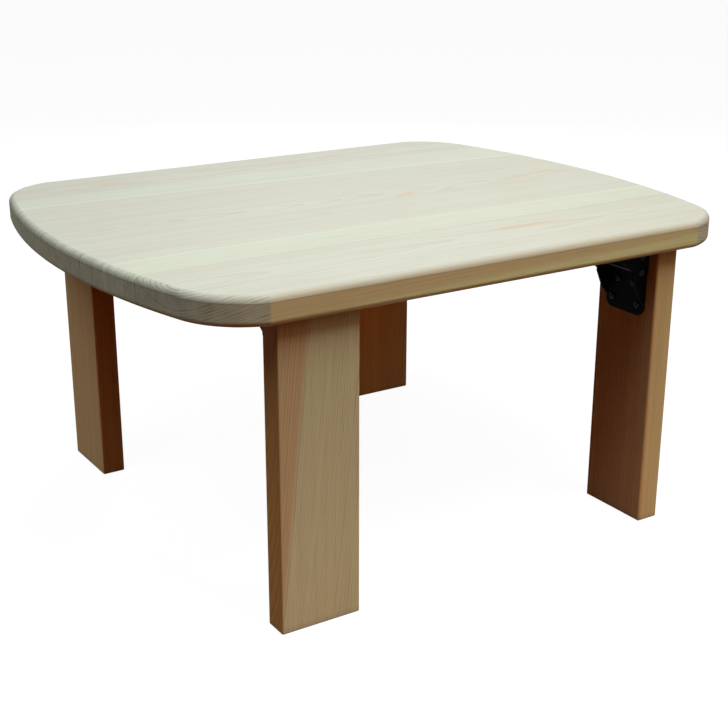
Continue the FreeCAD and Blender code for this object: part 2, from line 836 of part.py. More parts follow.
def arc_edge(start, tangent, end):
    """Arc from a point and its direction to another point."""
    chord = end - start
    lean = tangent - chord * (tangent.dot(chord) / chord.dot(chord))
    half_turn = tangent.getAngle(chord)
    lean.normalize()
    top = start + chord * 0.5 + lean * (chord.Length / 2 * math.tan(half_turn / 2))
    return Part.Arc(start, top, end).toShape()


def biarc_edges(start, start_way, end, end_way):
    """Two arcs that leave one point in its direction and reach the next in its direction."""
    chord = end - start
    ways = start_way + end_way
    bend = 2 * (1 - start_way.dot(end_way))
    across = chord.dot(ways)
    reach = (-across + math.sqrt(across**2 + bend * chord.dot(chord))) / bend
    middle = (start + start_way * reach + end - end_way * reach) * 0.5
    way = (end - end_way * reach) - (start + start_way * reach)
    way.normalize()
    return [arc_edge(start, start_way, middle), arc_edge(middle, way, end)]


def spring_angles():
    """Where the wire leaves the coil: each arm then reaches the steel that it bears on."""
    arm = size.arm_length.value
    wire = size.wire_radius.value + size.arm_gap.value
    coil = size.coil_radius.value
    drop = size.lever_pin_drop.value - size.gauge.value
    rise = math.asin((drop - wire - coil) / arm)

    release = size.release_angle
    lever_x = (size.web_start - size.lever_pin_offset).value
    lever_z = (size.gauge - size.web_drop + size.lever_pin_drop).value
    swing = math.radians(release.value)
    web_z = lever_x * math.sin(swing) + lever_z * math.cos(swing)
    web_x = lever_x * math.cos(swing) - lever_z * math.sin(swing)
    surface = web_z + (arm - web_x) * math.tan(swing)
    dip = math.asin((surface + wire / math.cos(swing) + coil) / arm)
    return math.pi / 2 + rise, 3 * math.pi / 2 + dip


def spring_spine():
    """Wire of the torsion spring: an arm under the base plate, turns round the lever pin,
    and an arm on the lever's web."""
    begin, finish = spring_angles()
    total = finish - begin + 2 * math.pi * size.coil_turns.value
    coil = size.coil_radius.value
    advance = size.coil_pitch.value / (2 * math.pi)
    middle = Vector(size.lever_pin_offset.value, 0, -size.lever_pin_drop.value)
    quarters = math.ceil(total / (math.pi / 2))

    def at(turned):
        angle = begin + turned
        side = advance * (turned - total / 2)
        spot = Vector(coil * math.cos(angle), side, coil * math.sin(angle))
        way = Vector(-coil * math.sin(angle), advance, coil * math.cos(angle))
        way.normalize()
        return middle + spot, way

    stops = [at(total * index / quarters) for index in range(quarters + 1)]
    first_spot, first_way = stops[0]
    last_spot, last_way = stops[-1]
    arm = size.arm_length.value
    edges = [Part.LineSegment(first_spot - first_way * arm, first_spot).toShape()]
    for (start, start_way), (end, end_way) in zip(stops, stops[1:]):
        edges.extend(biarc_edges(start, start_way, end, end_way))
    edges.append(Part.LineSegment(last_spot, last_spot + last_way * arm).toShape())
    return Part.Wire(edges), first_spot - first_way * arm, first_way


def least_self_gap(spine):
    """Least gap of a wound wire to itself, on points a tenth of the coil's radius apart."""
    wire = size.wire_radius.value * 2
    spacing = size.coil_radius.value / 10
    points = spine.discretize(Distance=spacing)
    skip = math.ceil(math.pi * size.coil_radius.value / spacing)
    gaps = [
        first.distanceToPoint(second)
        for index, first in enumerate(points)
        for second in points[index + skip:]
    ]
    return min(gaps) - wire


def make_spring(label, turn):
    """Torsion spring round the lever pin, as one unbroken wire."""
    spine, start, way = spring_spine()
    section = Part.Wire(Part.makeCircle(size.wire_radius.value, start, way))
    sweep = Part.BRepOffsetAPI.MakePipeShell(spine)
    sweep.add(section)
    sweep.build()
    sweep.makeSolid()
    spring = doc.addObject("Part::Feature", label)
    spring.Label = label
    spring.Shape = sweep.shape()
    place(spring, turn)
    expected = math.pi * size.wire_radius.value**2 * spine.Length
    share = spring.Shape.Volume / expected
    print(f"{label}: self gap {least_self_gap(spine):.2f} mm, volume over wire {share:.4f}")
    return spring


def make_corner(name, turn, screw):
    """One folding leg with all the pieces of its bracket."""
    return [
        make_leg(f"{name}_leg", turn),
        make_leg_plate(f"{name}_leg_plate", turn),
        make_base_plate(f"{name}_base_plate", turn),
        make_rivet(f"{name}_pivot_pin", turn, PIVOT, size.pivot_radius),
        make_lock_lever(f"{name}_lock_lever", turn),
        make_rivet(f"{name}_lever_pin", turn, LEVER_PIN, size.lever_pin_radius),
        make_spring(f"{name}_lever_spring", turn),
        make_screw_group(f"{name}_base_screws", turn, screw, base_screw_seats()),
        make_screw_group(f"{name}_leg_screws", turn, screw, leg_screw_seats()),
    ]


def check(pieces):
    """Stop if anything failed to build."""
    doc.recompute()
    for item in doc.Objects:
        if "Invalid" in item.State or "Error" in item.State:
            raise ValueError(f"{item.Label} failed: {item.State}")
    for piece in pieces:
        if piece.Shape.isNull() or not piece.Shape.isValid() or not piece.Shape.Solids:
            raise ValueError(f"{piece.Label} has no sound solid")


def main():
    pieces = make_boards(make_top_blank())
    screw = make_screw()
    doc.recompute()
    for name, turn in CORNERS:
        pieces.extend(make_corner(name, turn, screw))
    check(pieces)
    os.makedirs("parts", exist_ok=True)
    for piece in pieces:
        piece.Shape.exportStep(f"parts/{piece.Label}.step")
        print(f"{piece.Label}: {len(piece.Shape.Solids)} solids, {piece.Shape.Volume:.0f} mm3")


main()
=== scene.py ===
"""Looks of a low folding table: pale solid boards on plank legs with black folding brackets.

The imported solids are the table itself; this file gives them their wood and steel, and sets the
floor, the light and the camera. Grain is worked out in the solid, from where each plank sat in
its trunk, so faces, edges and end grain of a plank belong together.
"""

import math

import bpy
from bpy.props import FloatProperty, FloatVectorProperty, PointerProperty
from mathutils import Euler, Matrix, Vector

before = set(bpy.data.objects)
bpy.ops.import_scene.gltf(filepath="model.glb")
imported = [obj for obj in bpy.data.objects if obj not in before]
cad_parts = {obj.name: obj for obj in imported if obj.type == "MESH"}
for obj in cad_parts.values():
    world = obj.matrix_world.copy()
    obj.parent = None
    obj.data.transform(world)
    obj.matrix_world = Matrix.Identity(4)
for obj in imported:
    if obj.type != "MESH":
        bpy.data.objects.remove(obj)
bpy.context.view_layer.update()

bl_info = {
    "name": "Folding low table looks",
    "version": (1, 0, 0),
    "blender": (4, 5, 0),
    "location": "3D View > Sidebar > Table",
    "description": "Wood, steel, floor, light and camera for a low folding table",
    "category": "Material",
}

MILLIMETRES = 1000.0
WHITE = (1.0, 1.0, 1.0)
BOARDS = ("front_board", "middle_board", "back_board")
CORNERS = ("front_left", "front_right", "back_right", "back_left")

# Where each plank sat in its trunk, in millimetres of the table's frame. "grain" is the axis
# that the fibres follow; "pith" is the middle of the trunk on the other two axes, at the
# table's middle; "lean" is how far that middle wanders for each millimetre along the grain;
# "taper" is how fast the trunk thins; "wander" is how far its years stray from round; "rings"
# is the usual width of a year; "heart" is where heartwood ends and "border" how soft that end
# is; "seed" sets the waves of the plank apart from its neighbours; "joints" are its glue lines;
# "tone" is the tint of the plank itself, as planks of one trunk differ; "edges" are the axis that
# a leg's narrow edges look along, and the tints of the edge on its low and on its high side.
# Painted shade: the dark low-edge tints of the front left and back left legs stand in for the
# shade on those faces. Partly painted light: the bright warm tone of the back right leg is partly
# its own wood and partly stands in for the warm light that reaches it under the top.
PLANKS = {
    "front_board": {
        "grain": "X", "pith": (-216.0, 420.0), "lean": (0.010, 0.0), "taper": 0.012,
        "wander": 3.5, "rings": 2.7, "heart": 112.0, "border": 4.0, "seed": 3.1,
        "joints": (-167.0,),
    },
    "middle_board": {
        "grain": "X", "pith": (12.0, 331.0), "lean": (-0.022, -0.030), "taper": 0.016,
        "wander": 6.0, "rings": 3.1, "heart": 129.0, "border": 12.0, "seed": 8.7,
        "joints": (-167.0, 200.0),
    },
    "back_board": {
        "grain": "X", "pith": (236.0, 262.0), "lean": (-0.012, 0.022), "taper": 0.018,
        "wander": 5.0, "rings": 2.6, "heart": 112.0, "border": 12.0, "seed": 14.2,
        "joints": (200.0,),
    },
    "front_left_leg": {
        "grain": "Z", "pith": (-345.0, -228.0), "lean": (0.118, 0.0), "taper": 0.0,
        "wander": 3.0, "rings": 2.7, "heart": 104.0, "border": 6.0, "seed": 21.5,
        # Painted shade: the dark low-edge tint stands in for shade on the leg's left narrow edge.
        "tone": (1.04, 1.09, 1.05), "edges": ("X", (0.76, 0.50, 0.24), (0.96, 0.86, 0.70)),
    },
    "front_right_leg": {
        "grain": "Z", "pith": (60.0, -130.0), "lean": (0.0, 0.0), "taper": 0.0,
        "wander": 1.5, "rings": 2.4, "heart": 220.0, "border": 3.0, "seed": 27.9,
        "tone": (1.06, 0.93, 0.76), "edges": ("Y", (1.0, 0.98, 0.92), (1.0, 0.98, 0.92)),
    },
    "back_right_leg": {
        "grain": "Z", "pith": (300.0, 190.0), "lean": (0.030, 0.0), "taper": 0.012,
        "wander": 4.0, "rings": 2.6, "heart": 180.0, "border": 12.0, "seed": 33.4,
        # Partly painted light: this leg's bright warm tone is partly its own wood and partly
        # stands in for the warm light that reaches it under the top.
        "tone": (1.26, 1.10, 0.78), "edges": ("X", (1.0, 0.90, 0.75), (1.0, 0.90, 0.75)),
    },
    "back_left_leg": {
        "grain": "Z", "pith": (-180.0, 130.0), "lean": (0.0, -0.035), "taper": 0.012,
        "wander": 4.0, "rings": 2.5, "heart": 170.0, "border": 12.0, "seed": 39.8,
        # Painted shade: the dark low-edge tint stands in for shade on the leg's front narrow edge.
        "tone": (1.20, 1.05, 0.77), "edges": ("Y", (0.80, 0.48, 0.26), (1.0, 0.90, 0.75)),
    },
}

# Resin-coloured flecks on the upper face: middle, half length and half width in millimetres,
# how strongly they colour the wood, and how far they slant across the grain.
FLECKS = {
    "front_board": (
        ((92.0, -203.0), (62.0, 7.0), 0.75, 0.0),
        ((-105.0, -205.0), (14.0, 5.0), 0.40, 0.0),
    ),
    "middle_board": (
        ((40.0, 4.0), (11.0, 6.0), 0.45, 0.0),
        ((76.0, -5.0), (22.0, 6.0), 0.70, 0.29),
        ((133.0, -5.0), (30.0, 6.0), 0.50, 0.54),
        ((248.0, 5.0), (62.0, 5.0), 0.50, 0.19),
        ((296.0, 14.0), (20.0, 5.0), 0.60, 0.19),
        ((242.0, -23.0), (38.0, 5.0), 0.40, 0.22),
    ),
    "back_board": (
        ((-193.0, 230.0), (34.0, 11.0), 0.50, 0.0),
        ((-250.0, 220.0), (18.0, 8.0), 0.30, 0.0),
        ((-72.0, 250.0), (24.0, 10.0), 0.32, 0.0),
    ),
}

# Waves in the wood: their usual length along the fibres and width across them, in millimetres.
SLOW_WANDER = (300.0, 80.0)
QUICK_WANDER = (90.0, 22.0)
YEAR_PATCHES = (420.0, 9.0)
FINE_FIBRES = (36.0, 0.55)
BROAD_BANDS = (330.0, 16.0)
DASHES = (48.0, 1.3)
PORES = (14.0, 0.35)
GLOSS_PATCHES = (45.0, 30.0)
END_PATCHES = (60.0, 14.0)
GLUE_BREAKS = (70.0, 6.0)
FLECK_RAGS = (30.0, 5.0)

# How far those waves go: in millimetres for the wander, in years for the uneven years, and
# otherwise as a share of the colour, the roughness or the fleck that they vary.
QUICK_WANDER_DEPTH = 0.8
UNEVEN_PITCH = 0.11
UNEVEN_DEPTH = 1.5
FINE_DEPTH = 0.050
BROAD_DEPTH = 0.060
GLOSS_DEPTH = 0.06
END_DEPTH = 0.22
FLECK_DEPTH = 0.45

# Ramps, as Tree.step takes them: where the change begins and ends, and the values there, which
# are 0 and 1 where none are given. Within a year, the late wood comes slowly and ends at once.
LATE_RISE = (0.30, 0.90)
LATE_FALL = (0.93, 1.0, 1.0, 0.0)

# Ramps over noise: strength of the late wood, dashes along the grain, gaps in a glue line, wear
# of the bracket's coat and stains on rivets and screws.
LATE_STRENGTH = (0.25, 0.75, 0.15, 0.80)
DASH_SHADE = (0.60, 0.74, 1.0, 0.90)
GLUE_GAPS = (0.45, 0.75)
WORN_PATCHES = (0.42, 0.66)
STAIN_EDGE = (0.45, 0.75)

# Ramps over how far a face looks along the grain, upwards, or along an axis.
END_TURN = (0.08, 0.30)
UNDERSIDE_SHADE_TURN = (-0.20, -0.85)
ROUND_TURN = (0.03, 0.12, 0.0, 0.64)
UPPER_TURN = (-0.10, 1.02)
ABOVE_CUTTER_MARK = (0.15, 0.30)
LOW_EDGE_TURN = (-0.85, -0.35)
HIGH_EDGE_TURN = (0.35, 0.85)

# Ramps over millimetres: away from the heart's border, the cutter's mark and a glue line, and
# up a leg, where painted light makes it paler towards the foot and darker towards the top, wear
# darkens the foot, and a painted shadow darkens it just under the top.
BORDER_OFFSET = 3.0
BORDER_FADE = (0.5, 4.5, 0.65, 0.0)
CUTTER_MARK = 347.6
CUTTER_SHADE = (0.2, 0.9, 0.80, 1.0)
GLUE_SHADE = (0.15, 0.85, 0.72, 1.0)
# Painted light: a leg is paler towards the foot and darker towards the top, as the top shades it.
LEG_PAINTED_LIGHT = (0.0, 320.0, 1.24, 0.90)
FOOT_WEAR = (1.0, 9.0, 0.84, 1.0)
# Painted shadow: each leg darkens over its last 21 mm under the top, where the top's shadow falls.
LEG_TOP_PAINTED_SHADOW = (304.0, 325.0, 1.0, 0.70)

# Where a fleck starts to fade and where it ends, as shares of its half length and half width.
FLECK_REACH = (0.15, 1.25)

# Gloss and relief of the wood: change of roughness in young and late wood and on the ends, how
# far late wood stands proud of the pores, and the strength and depth, in metres, of the relief.
BOARD_SHINE = 0.10
LEG_SHINE = 0.05
YOUNG_ROUGHER = 0.04
LATE_ROUGHER = -0.10
END_ROUGHER = 0.18
LATE_RIDGE = 0.6
WOOD_RELIEF = (0.22, 0.00016)

# Steel: shine, wear, roughness and relief of the brackets, rivets, screws and springs.
BRACKET_SHINE = 0.02
BRACKET_ROUGHNESS = 0.50
BRACKET_ROUGHER = 0.20
BRACKET_RELIEF = (0.18, 0.00008)
WORN_EDGE = 0.0005
WORN_EDGE_TURN = (0.80, 0.99, 1.0, 0.0)
FASTENER_METAL = 0.75
FASTENER_RELIEF = (0.12, 0.00004)
RIVET_ROUGHNESS = 0.32
SCREW_ROUGHNESS = 0.24
STAIN_PALER = 1.8
STAIN_ROUGHER = 0.20
WIRE_ROUGHNESS = 0.22
WIRE_ROUGHER = 0.16
WIRE_DARKER = 0.72
WIRE_RELIEF = (0.10, 0.00003)

# Lamps: where each one hangs, its width in metres and its tint. All aim at the table.
COOL = (0.85, 1.0, 1.17)
WARM = (1.0, 0.42, 0.13)
LAMPS = {
    "overhead": ((0.0, 0.2, 2.4), 1.6, WHITE),
    "high": ((0.35, -1.10, 2.35), 1.0, WHITE),
    "front": ((0.8, -1.9, 1.75), 1.3, WHITE),
    "side": ((-1.5, -0.2, 2.0), 1.2, COOL),
    "behind": ((1.3, 1.9, 1.2), 1.4, WHITE),
    "low": ((0.05, -4.0, 0.4), 0.8, WARM),
}
LAMP_AIM = (0.0, 0.0, 0.30)

# Floor and sky: half the floor's width in metres, the light that it shows besides its own pale
# colour, which draws the shadow, and how the sky fades from overhead to the floor.
FLOOR_REACH = 9.0
FLOOR_SHADING = (0.14, 0.14, 0.14)
SKY_FADE = (-0.15, 0.95)
SKY_AT_FLOOR = 0.02

SENSOR_WIDTH = 36.0
CAMERA_REACH = 50.0


def linear(red, green, blue):
    """Scene colour of a screen colour given in steps of 255."""

    def channel(step):
        share = step / 255.0
        return share / 12.92 if share <= 0.04045 else ((share + 0.055) / 1.055) ** 2.4

    return channel(red), channel(green), channel(blue)


def colour(name, description, default):
    """Property for a colour or a tint."""
    return FloatVectorProperty(
        name=name,
        description=description,
        subtype="COLOR",
        size=3,
        min=0.0,
        max=1.0,
        default=default,
    )


def lamp(name, description, default):
    """Property for the power of a lamp."""
    return FloatProperty(name=name, description=description, default=default, unit="POWER")


class TABLE_PG_wood(bpy.types.PropertyGroup):
    """Colours of the pale softwood."""

    heart: colour("Heartwood", "Young wood of a year inside the heart", linear(209, 208, 190))
    sap: colour("Sapwood", "Young wood of a year outside the heart", linear(211, 213, 191))
    heart_late: colour("Late heartwood", "Dark line of a year in the heart", linear(200, 190, 166))
    sap_late: colour("Late sapwood", "Dark line of a year in the sapwood", linear(202, 200, 174))
    end_late: colour("Late end grain", "Dark line of a year on the ends", linear(166, 158, 134))
    border: colour("Sapwood border", "Pale line where the heart ends", linear(219, 220, 197))
    fleck: colour("Resin fleck", "Resin-rich streaks", linear(213, 185, 148))
    leg: colour("Leg wood", "Young wood of a year in the legs", linear(204, 175, 134))
    leg_late: colour("Late leg wood", "Dark line of a year in the legs", linear(182, 138, 96))
    leg_sap: colour("Leg sapwood", "Young sapwood of a leg", linear(210, 199, 160))
    leg_sap_late: colour("Late leg sapwood", "Dark line in a leg's sapwood", linear(186, 168, 126))
    leg_end_tone: colour("Leg end tone", "Tint of the end grain of a leg", (0.62, 0.56, 0.48))
    edge_tone: colour("Edge tone", "Tint of the long edges in the heart", (0.93, 0.74, 0.45))
    edge_sap_tone: colour(
        "Sapwood edge tone", "Tint of the long edges in the sapwood", (0.93, 0.86, 0.53)
    )
    # Painted shade: the underside and its lower round are darkened, where the top shades itself.
    underside_painted_shade: colour(
        "Underside tone", "Tint of the underside, which keeps its oil", (0.70, 0.55, 0.37)
    )
    end_tone: colour("End grain tone", "Tint of the end grain", (0.755, 0.745, 0.62))
    roughness: FloatProperty(
        name="Roughness", description="Sanded and oiled wood", default=0.56, min=0.0, max=1.0,
        subtype="FACTOR",
    )


class TABLE_PG_steel(bpy.types.PropertyGroup):
    """Colours of the brackets."""

    coat: colour("Bracket coat", "Baked black coat of the brackets", (0.002, 0.002, 0.002))
    bare: colour("Worn steel", "Steel where the coat has rubbed thin", (0.016, 0.016, 0.016))
    rivet: colour("Rivets", "Blackened rivets", (0.006, 0.006, 0.006))
    screw: colour("Screws", "Blackened wood screws", (0.008, 0.008, 0.008))
    spring: colour("Spring wire", "Bright spring wire", (0.420, 0.415, 0.405))


class TABLE_PG_stage(bpy.types.PropertyGroup):
    """Floor, light and camera."""

    floor: colour("Floor", "Floor as the camera sees it", (0.955, 0.955, 0.955))
    bounce: colour("Bounce", "Floor as the light under the table sees it", (0.160, 0.036, 0.003))
    sky: FloatProperty(
        name="Sky", description="Faint light from all around, strongest overhead", default=0.025,
        min=0.0,
    )
    overhead: lamp("Overhead light", "Soft light over the table", 4.0)
    high: lamp("High light", "Soft light high over the front", 38.5)
    front: lamp("Front light", "Soft light from the front right", 4.0)
    side: lamp("Side light", "Cool soft light high on the left", 15.5)
    behind: lamp("Back light", "Soft light from behind", 13.0)
    low: lamp("Low light", "Warm light that reaches under the table from the front", 9.0)
    lens: FloatProperty(
        name="Lens", description="Focal length of the camera", default=66.390, min=1.0,
        unit="CAMERA",
    )
    camera_spot: FloatVectorProperty(
        name="Camera", description="Where the camera stands", subtype="TRANSLATION",
        default=(-0.80929, -1.28959, 0.69332),
    )
    camera_turn: FloatVectorProperty(
        name="Camera turn", description="Tilt, roll and heading of the camera", subtype="EULER",
        default=(math.radians(70.5175), math.radians(-0.1365), math.radians(-32.6525)),
    )


class Tree:
    """Short words for the nodes of one material."""

    def __init__(self, name):
        self.material = bpy.data.materials.new(name)
        self.material.use_nodes = True
        self.nodes = self.material.node_tree.nodes
        self.links = self.material.node_tree.links
        self.nodes.clear()
        output = self.nodes.new("ShaderNodeOutputMaterial")
        self.shader = self.nodes.new("ShaderNodeBsdfPrincipled")
        self.links.new(self.shader.outputs["BSDF"], output.inputs["Surface"])

    def feed(self, socket, value):
        """Link a socket to another node's output, or set its own value."""
        if isinstance(value, bpy.types.NodeSocket):
            self.links.new(value, socket)
        elif socket.type == "RGBA" and len(value) == 3:
            socket.default_value = (*value, 1.0)
        else:
            socket.default_value = value

    def sum(self, operation, *values):
        """One sum with plain numbers."""
        node = self.nodes.new("ShaderNodeMath")
        node.operation = operation
        for socket, value in zip(node.inputs, values):
            self.feed(socket, value)
        return node.outputs[0]

    def distance(self, value, middle):
        """How far a value lies from a middle, to either side."""
        return self.sum("ABSOLUTE", self.sum("SUBTRACT", value, middle))

    def vector(self, operation, *values):
        """One sum with vectors."""
        node = self.nodes.new("ShaderNodeVectorMath")
        node.operation = operation
        for socket, value in zip(node.inputs, values):
            self.feed(socket, value)
        return node.outputs["Value" if operation in ("LENGTH", "DOT_PRODUCT") else "Vector"]

    def split(self, vector):
        node = self.nodes.new("ShaderNodeSeparateXYZ")
        self.feed(node.inputs[0], vector)
        return node.outputs

    def join(self, x, y, z):
        node = self.nodes.new("ShaderNodeCombineXYZ")
        for socket, value in zip(node.inputs, (x, y, z)):
            self.feed(socket, value)
        return node.outputs[0]

    def grey(self, value):
        """The same value in red, green and blue."""
        return self.join(value, value, value)

    def blend(self, share, first, second, mode="MIX"):
        """The first colour, going over to the second as the share rises to 1."""
        node = self.nodes.new("ShaderNodeMix")
        node.data_type = "RGBA"
        node.blend_type = mode
        self.feed(node.inputs[0], share)
        self.feed(node.inputs[6], first)
        self.feed(node.inputs[7], second)
        return node.outputs[2]

    def tinted(self, base, tint):
        """A base colour times a tint."""
        return self.blend(1.0, base, tint, "MULTIPLY")

    def step(self, value, low, high, start=0.0, end=1.0):
        """Smooth change from start to end while the value goes from low to high."""
        node = self.nodes.new("ShaderNodeMapRange")
        node.interpolation_type = "SMOOTHSTEP"
        for socket, amount in zip(node.inputs, (value, low, high, start, end)):
            self.feed(socket, amount)
        return node.outputs[0]

    def cloud(self, vector, scale=1.0, detail=2.0, roughness=0.5):
        """Soft noise between 0 and 1."""
        node = self.nodes.new("ShaderNodeTexNoise")
        self.feed(node.inputs["Vector"], vector)
        node.inputs["Scale"].default_value = scale
        node.inputs["Detail"].default_value = detail
        node.inputs["Roughness"].default_value = roughness
        return node.outputs[0]

    def wave(self, vector, **options):
        """The same noise, centred on nought and about 1 high."""
        return self.sum("MULTIPLY_ADD", self.cloud(vector, **options), 2.0, -1.0)

    def place(self):
        """Place in the solid, in millimetres, and the direction that its face looks."""
        node = self.nodes.new("ShaderNodeTexCoord")
        spot = self.vector("MULTIPLY", node.outputs["Object"], (MILLIMETRES,) * 3)
        return spot, node.outputs["Normal"]

    def bump(self, height, strength, depth):
        """Fine relief of the surface."""
        node = self.nodes.new("ShaderNodeBump")
        node.inputs["Strength"].default_value = strength
        node.inputs["Distance"].default_value = depth
        self.feed(node.inputs["Height"], height)
        self.links.new(node.outputs["Normal"], self.shader.inputs["Normal"])

    def surface(self, tint, roughness, even):
        """Link the shader's colour and roughness, and set what is even all over."""
        self.links.new(tint, self.shader.inputs["Base Color"])
        self.links.new(roughness, self.shader.inputs["Roughness"])
        for name, value in even.items():
            self.shader.inputs[name].default_value = value


class Timber:
    """The parts that every wood material shares: years, heart, fibres and end grain."""

    def __init__(self, name, plank):
        self.tree = tree = Tree(name)
        self.plank = plank
        spot, facing = tree.place()
        x, y, z = tree.split(spot)
        facing_x, facing_y, facing_z = tree.split(facing)
        if plank["grain"] == "X":
            self.along, self.across, self.up = x, y, z
            facing_along = facing_x
        else:
            self.along, self.across, self.up = z, x, y
            facing_along = facing_z
        self.facing = {"X": facing_x, "Y": facing_y, "Z": facing_z}
        self.end = tree.step(tree.sum("ABSOLUTE", facing_along), *END_TURN)
        self.lie = tree.join(self.along, self.across, self.up)
        self.radius = self.ring_radius()
        self.late = self.ring_lines()
        heart, soft = plank["heart"], plank["border"]
        self.heart = tree.step(self.radius, heart - soft, heart + soft / 2.0, 1.0, 0.0)

    def stretched(self, along, across):
        """Place along the fibres and across them, in the given steps of millimetres."""
        tree = self.tree
        shrunk = tree.vector(
            "MULTIPLY", self.lie, (1.0 / along, 1.0 / across, 1.0 / across)
        )
        return tree.vector("ADD", shrunk, (self.plank["seed"],) * 3)

    def ring_radius(self):
        """Distance from the trunk's middle with the wander of a grown trunk."""
        tree = self.tree
        plank = self.plank
        sides = []
        for value, middle, lean in zip((self.across, self.up), plank["pith"], plank["lean"]):
            leaned = tree.sum("MULTIPLY_ADD", self.along, -lean, -middle)
            sides.append(tree.sum("ADD", value, leaned))
        radius = tree.vector("LENGTH", tree.join(*sides, 0.0))
        radius = tree.sum("MULTIPLY_ADD", self.along, plank["taper"], radius)
        slow = tree.wave(self.stretched(*SLOW_WANDER), detail=1.0)
        quick = tree.wave(self.stretched(*QUICK_WANDER))
        radius = tree.sum("MULTIPLY_ADD", slow, plank["wander"], radius)
        return tree.sum("MULTIPLY_ADD", quick, QUICK_WANDER_DEPTH, radius)

    def ring_lines(self):
        """0 in the young wood of a year, rising to 1 in its late wood."""
        tree = self.tree
        outwards = tree.sum("MULTIPLY", self.radius, UNEVEN_PITCH)
        uneven = tree.wave(tree.join(outwards, 0.0, 0.0))
        years = tree.sum("DIVIDE", self.radius, self.plank["rings"])
        years = tree.sum("MULTIPLY_ADD", uneven, UNEVEN_DEPTH, years)
        within = tree.sum("FRACT", years)
        rise = tree.step(within, *LATE_RISE)
        fall = tree.step(within, *LATE_FALL)
        lines = tree.sum("MULTIPLY", rise, fall)
        patches = tree.cloud(self.stretched(*YEAR_PATCHES), detail=1.0)
        return tree.sum("MULTIPLY", lines, tree.step(patches, *LATE_STRENGTH))

    def fibres(self):
        """Fine streaks and short dark dashes along the grain, about 1 in the mean."""
        tree = self.tree
        fine = tree.wave(self.stretched(*FINE_FIBRES))
        broad = tree.wave(self.stretched(*BROAD_BANDS), detail=3.0)
        tone = tree.sum("MULTIPLY_ADD", fine, FINE_DEPTH, 1.0)
        tone = tree.sum("MULTIPLY_ADD", broad, BROAD_DEPTH, tone)
        dashes = tree.cloud(self.stretched(*DASHES), detail=1.0)
        return tree.sum("MULTIPLY", tone, tree.step(dashes, *DASH_SHADE))

    def finish(self, tint, roughness, shine):
        """Send colour, gloss and relief to the shader."""
        tree = self.tree
        tint = tree.tinted(tint, tree.grey(self.fibres()))
        gloss = tree.sum("MULTIPLY_ADD", self.late, LATE_ROUGHER, roughness + YOUNG_ROUGHER)
        gloss = tree.sum("MULTIPLY_ADD", self.end, END_ROUGHER, gloss)
        blotch = tree.wave(self.stretched(*GLOSS_PATCHES), detail=3.0)
        gloss = tree.sum("MULTIPLY_ADD", blotch, GLOSS_DEPTH, gloss)
        tree.surface(tint, gloss, {"Specular IOR Level": shine})
        pores = tree.cloud(self.stretched(*PORES), detail=3.0, roughness=0.6)
        tree.bump(tree.sum("MULTIPLY_ADD", self.late, LATE_RIDGE, pores), *WOOD_RELIEF)
        return tree.material


def board_wood(name, looks):
    """Board of the top: bleached upper face, tan edges, grey end grain, and an underside darkened
    with painted shade.
    """
    timber = Timber(f"{name}_wood", PLANKS[name])
    tree = timber.tree
    young = tree.blend(timber.heart, looks.sap, looks.heart)
    late = tree.blend(timber.heart, looks.sap_late, looks.heart_late)
    tint = tree.blend(timber.late, young, late)
    away = tree.distance(timber.radius, timber.plank["heart"] + BORDER_OFFSET)
    tint = tree.blend(tree.step(away, *BORDER_FADE), tint, looks.border)
    tint = add_flecks(timber, name, tint, looks)
    tint = tree.blend(tree.sum("MULTIPLY", timber.late, timber.end), tint, looks.end_late)
    patches = tree.wave(timber.stretched(*END_PATCHES), detail=3.0)
    patches = tree.sum("MULTIPLY", patches, timber.end)
    tint = tree.tinted(tint, tree.grey(tree.sum("MULTIPLY_ADD", patches, END_DEPTH, 1.0)))
    up = timber.facing["Z"]
    sides = tree.blend(timber.heart, looks.edge_sap_tone, looks.edge_tone)
    sides = tree.blend(timber.end, sides, looks.end_tone)
    # Painted shade on the underside and its lower round.
    sides = tree.blend(tree.step(up, *UNDERSIDE_SHADE_TURN), sides, looks.underside_painted_shade)
    face = tree.sum("MAXIMUM", tree.step(up, *ROUND_TURN), tree.step(up, *UPPER_TURN))
    tint = tree.tinted(tint, tree.blend(face, sides, WHITE))
    tint = add_lines(timber, tint)
    return timber.finish(tint, looks.roughness, BOARD_SHINE)


def add_lines(timber, tint):
    """Thin dark glue lines, and the mark that the round-over cutter leaves along the edge."""
    tree = timber.tree
    shade = tree.step(tree.distance(timber.up, CUTTER_MARK), *CUTTER_SHADE)
    shade = tree.sum("MAXIMUM", shade, tree.step(timber.facing["Z"], *ABOVE_CUTTER_MARK))
    gaps = tree.step(tree.cloud(timber.stretched(*GLUE_BREAKS)), *GLUE_GAPS)
    for joint in timber.plank["joints"]:
        line = tree.step(tree.distance(timber.across, joint), *GLUE_SHADE)
        shade = tree.sum("MULTIPLY", shade, tree.sum("MAXIMUM", line, gaps))
    return tree.tinted(tint, tree.grey(shade))


def add_flecks(timber, name, tint, looks):
    """Resin-coloured streaks that the grain breaks up."""
    tree = timber.tree
    ragged = tree.wave(timber.stretched(*FLECK_RAGS), detail=3.0)
    for middle, half, strength, slant in FLECKS[name]:
        along = tree.sum("SUBTRACT", timber.along, middle[0])
        across = tree.sum("SUBTRACT", timber.across, middle[1])
        across = tree.sum("MULTIPLY_ADD", along, -slant, across)
        along = tree.sum("DIVIDE", along, half[0])
        across = tree.sum("DIVIDE", across, half[1])
        away = tree.vector("LENGTH", tree.join(along, across, 0.0))
        away = tree.sum("MULTIPLY_ADD", ragged, FLECK_DEPTH, away)
        tint = tree.blend(tree.step(away, *FLECK_REACH, strength, 0.0), tint, looks.fleck)
    return tint


